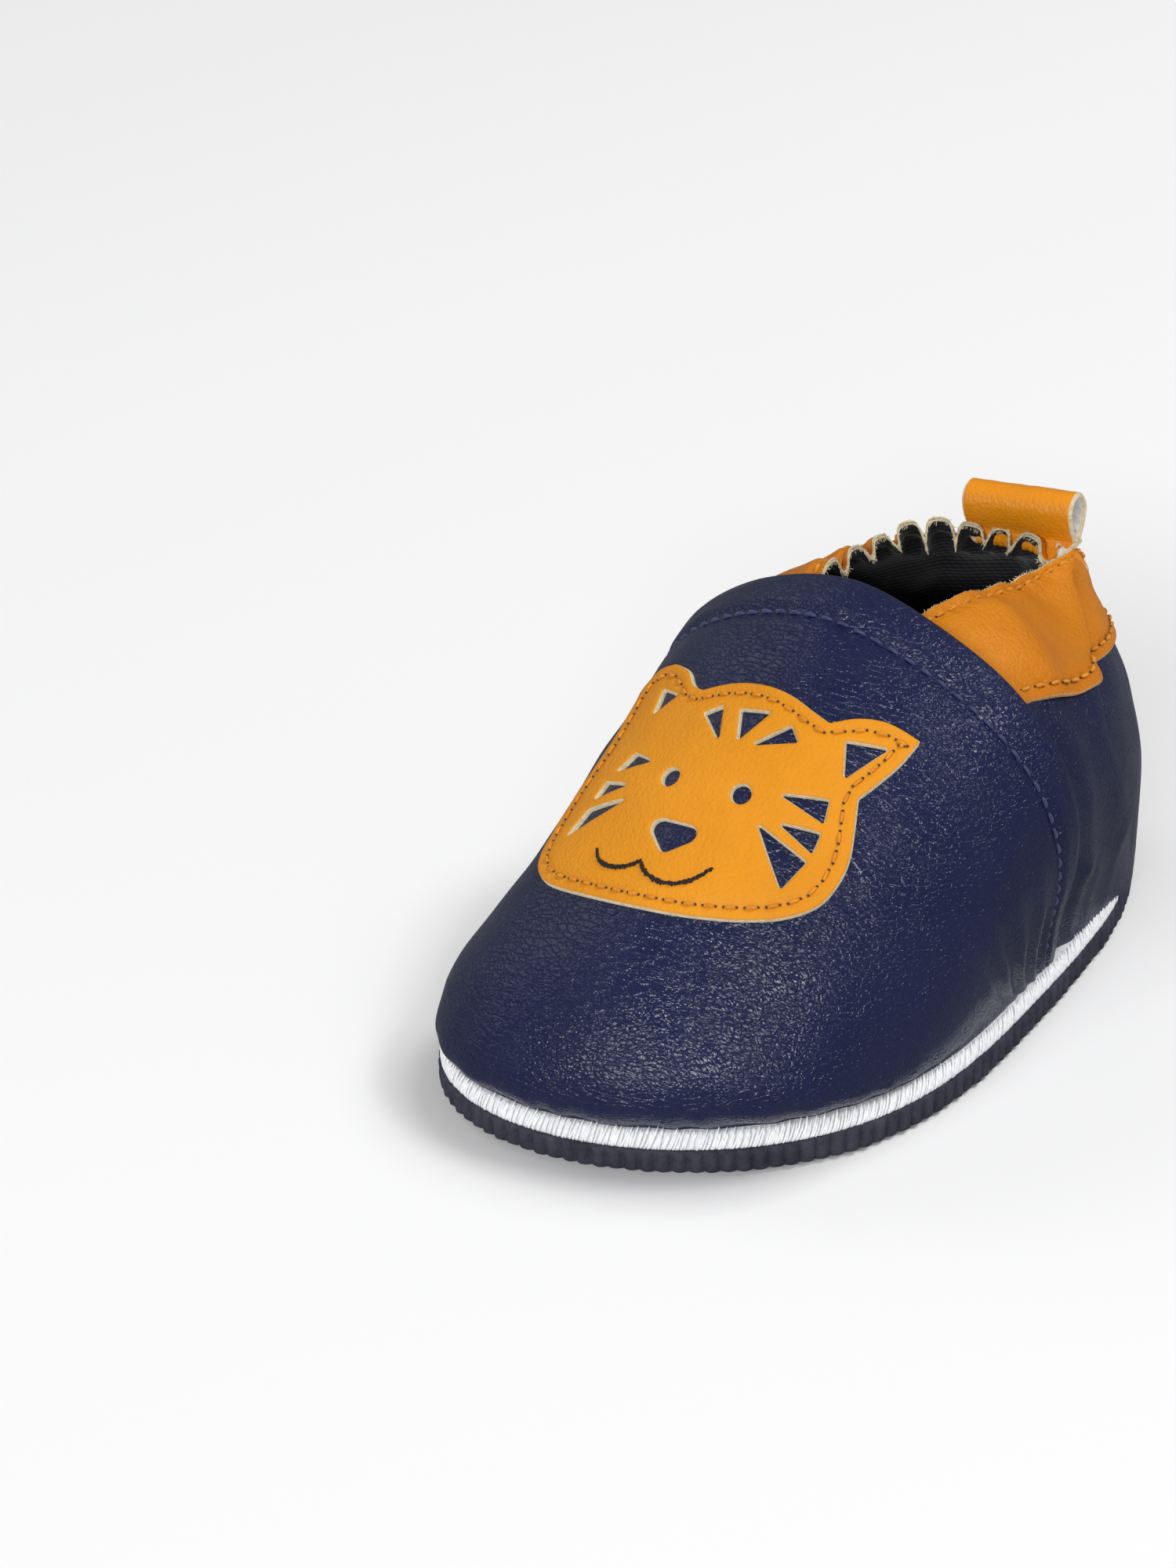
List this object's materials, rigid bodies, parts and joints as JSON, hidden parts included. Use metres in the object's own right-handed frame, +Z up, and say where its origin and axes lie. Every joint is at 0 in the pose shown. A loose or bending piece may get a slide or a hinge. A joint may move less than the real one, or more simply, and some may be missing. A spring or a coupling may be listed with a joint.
{
  "type": "baby bootie",
  "caption": "Soft slip-on baby bootie for the left foot, with a one-piece vamp, a gathered elastic collar, a heel pull loop, an animal face patch and a rubber sole.",
  "frame": {"origin": "on the ground under the middle of the bootie's bounding box", "axes": "+Z up, +Y from the toe to the heel, +X towards the outer side of the left foot"},
  "size_m": [0.0748, 0.1292, 0.067],
  "materials": {
    "outsole_rubber": "matt, ribbed edge",
    "welt_fabric": "satin overstitched band",
    "welt_thread": "satin thread",
    "insole_foam": "soft foam",
    "lining_fabric": "brushed fabric",
    "navy_leather": "fine pebbled grain, satin",
    "mustard_leather": "fine grain, semi-gloss",
    "patch_leather": "fine grain, satin",
    "elastic": "woven elastic",
    "mustard_thread": "twisted thread",
    "navy_thread": "twisted thread",
    "mouth_thread": "twisted thread"
  },
  "bodies": {
    "bootie": {"outsole": "outsole_rubber", "welt_band": "welt_fabric", "insole_foam": "insole_foam", "insole_sock": "lining_fabric", "vamp": "navy_leather", "vamp_lining": "lining_fabric", "quarter": "navy_leather", "quarter_lining": "lining_fabric", "collar": "mustard_leather", "collar_elastic": "elastic", "pull_loop_tails": "mustard_leather", "loop_box_stitch": "mustard_thread", "face_patch": "patch_leather", "face_patch_stitching": "mustard_thread", "mouth_embroidery": "mouth_thread", "throat_stitching": "navy_thread", "collar_rim_stitching": "mustard_thread", "collar_lower_stitching": "mustard_thread", "welt_stitching": "welt_thread"},
    "loop": {"pull_loop": "mustard_leather"}
  },
  "joints": [
    {"name": "pull_loop_fold", "type": "hinge", "parent": "bootie", "child": "loop", "pos_m": [0.00172, 0.04743, 0.0572], "axis": [0.9879, 0.1388, 0.0698], "range_deg": [-60, 30], "stiffness_Nm_per_rad": 0.002}
  ]
}
